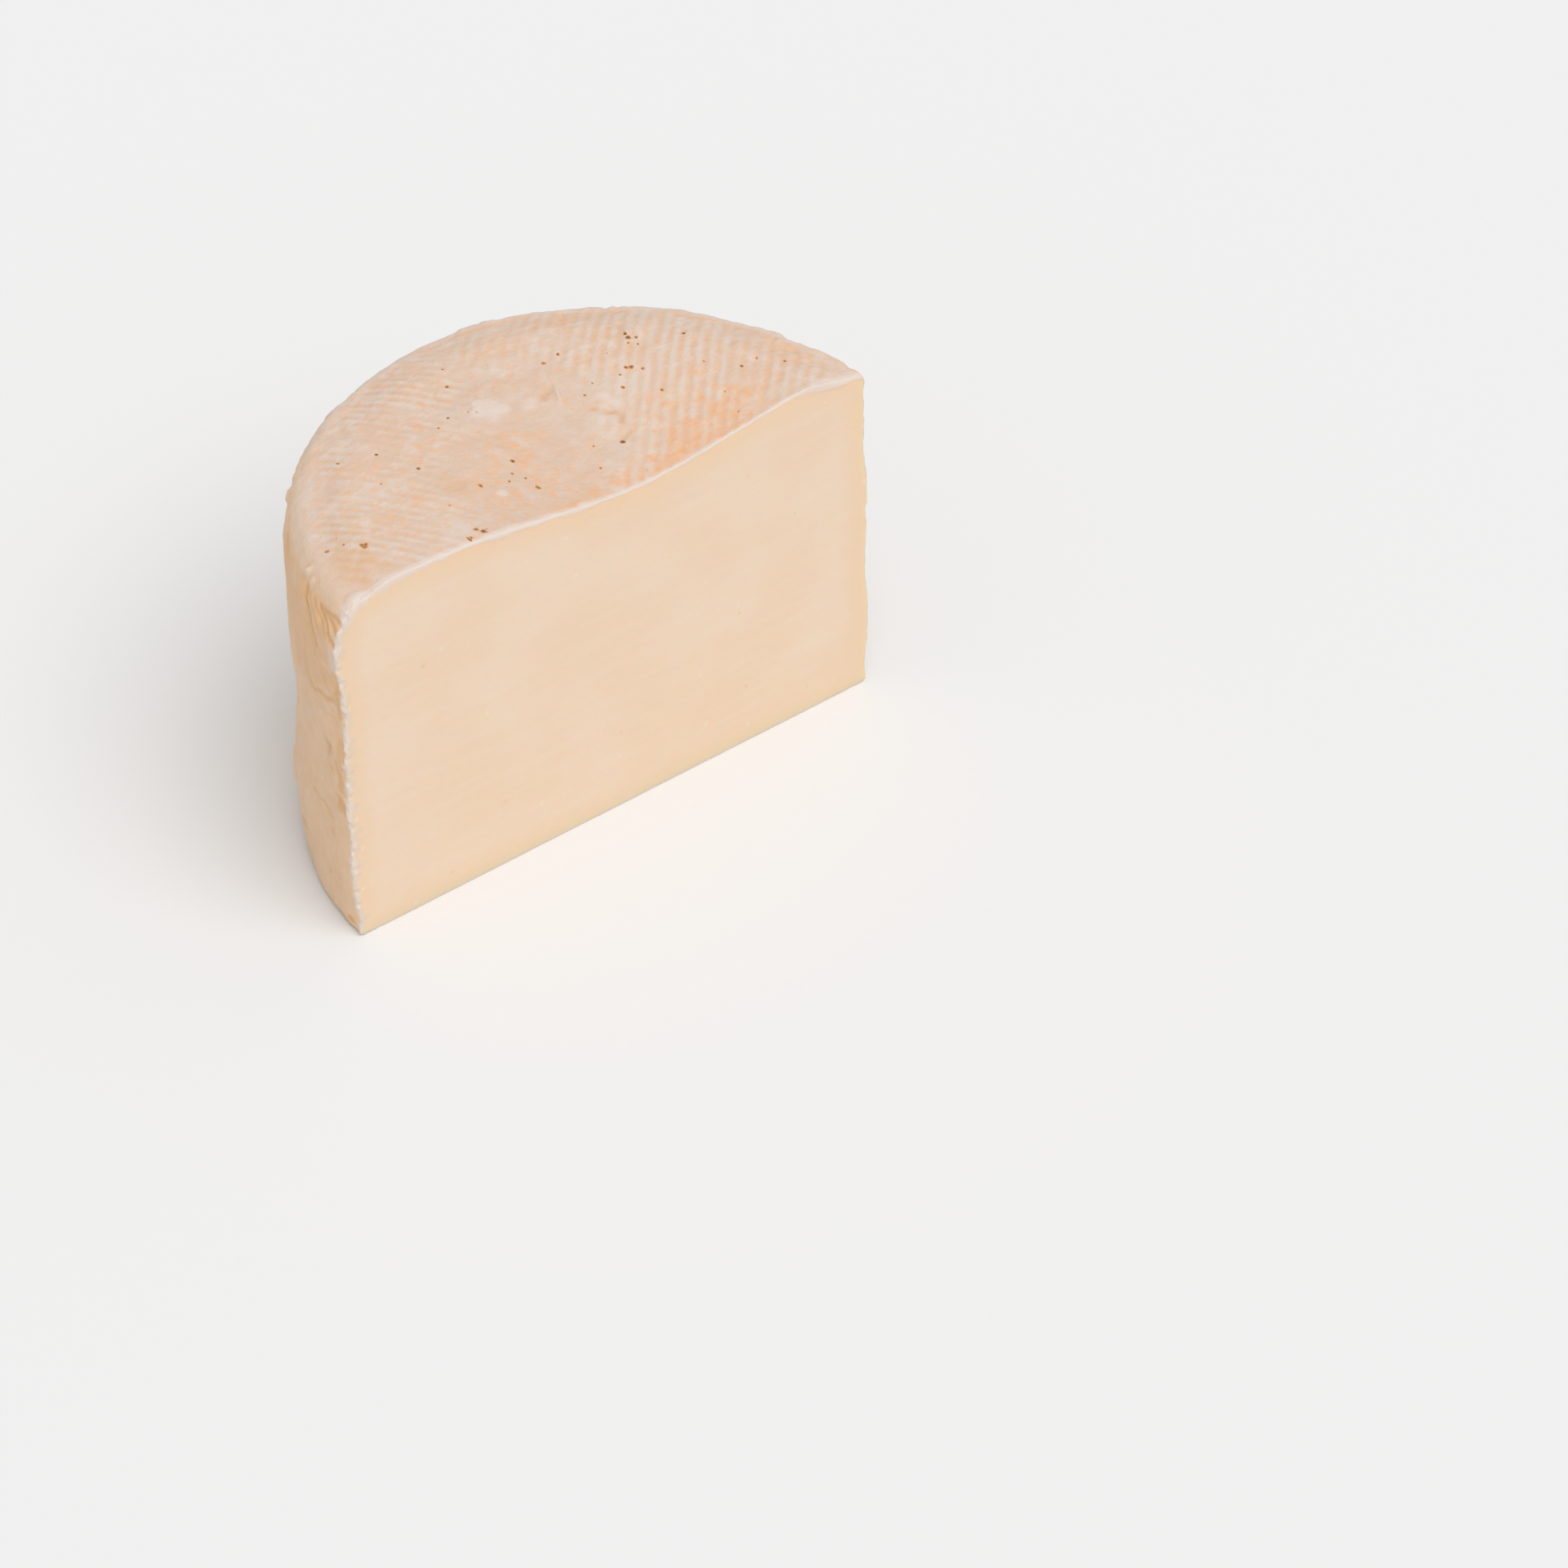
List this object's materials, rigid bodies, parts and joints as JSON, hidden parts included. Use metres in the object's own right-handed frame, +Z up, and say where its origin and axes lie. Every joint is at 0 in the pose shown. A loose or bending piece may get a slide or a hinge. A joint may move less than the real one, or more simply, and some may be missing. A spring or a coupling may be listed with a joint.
{
  "type": "semi-cured sheep cheese half wheel",
  "caption": "Half of an upright round sheep cheese, cut flat down the middle, with a pale ridged rind, a dished top and smooth ivory paste.",
  "frame": {"origin": "middle of the base, at the centre of the half wheel's own box", "axes": "+X along the cut face, +Y from the cut face towards the round back, +Z up"},
  "size_m": [0.161, 0.08, 0.1073],
  "materials": {
    "rind_and_paste": "waxy pale rind with tan and orange mottling over soft ivory paste"
  },
  "bodies": {
    "root": {"half_wheel": "rind_and_paste"}
  },
  "joints": []
}
